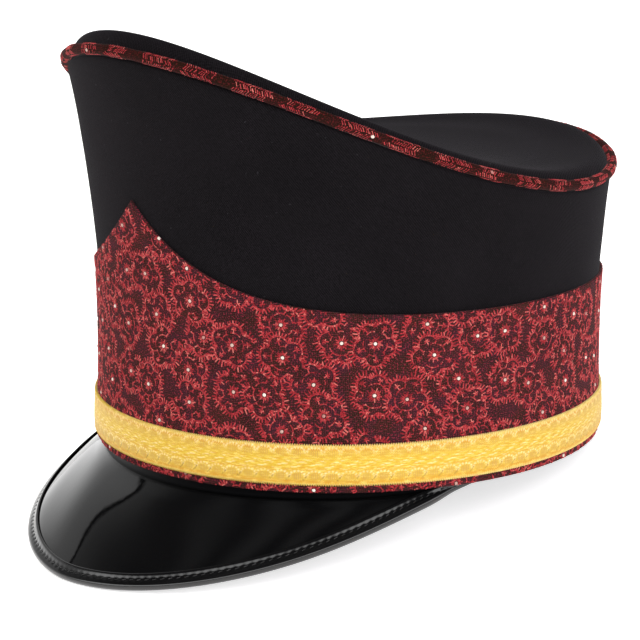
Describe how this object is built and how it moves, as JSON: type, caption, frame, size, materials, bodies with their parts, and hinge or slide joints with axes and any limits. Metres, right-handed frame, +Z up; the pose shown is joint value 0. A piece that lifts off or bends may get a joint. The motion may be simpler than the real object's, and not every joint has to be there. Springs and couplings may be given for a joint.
{
  "type": "shako hat",
  "caption": "Stiff cloth-covered shako with a raised flared front, a floral brocade band rising to a point, a gold braid and a glossy sloping peak.",
  "frame": {"origin": "middle of the bounding box's underside, on the surface the hat stands on", "axes": "+Z up; the front and the peak face -Y; the wearer's left is +X"},
  "size_m": [0.1966, 0.2624, 0.1871],
  "materials": {
    "black_cloth": "matt wool twill",
    "brocade": "red floral brocade on a dark ground",
    "gold_braid": "woven metallic braid",
    "patent": "high-gloss black patent",
    "patent_binding": "glossy stitched binding"
  },
  "bodies": {
    "root": {"crown_wall": "black_cloth", "top_panel": "black_cloth", "rim_piping": "brocade", "brocade_band": "brocade", "gold_braid": "gold_braid", "peak": "patent", "peak_binding": "patent_binding"}
  },
  "joints": []
}
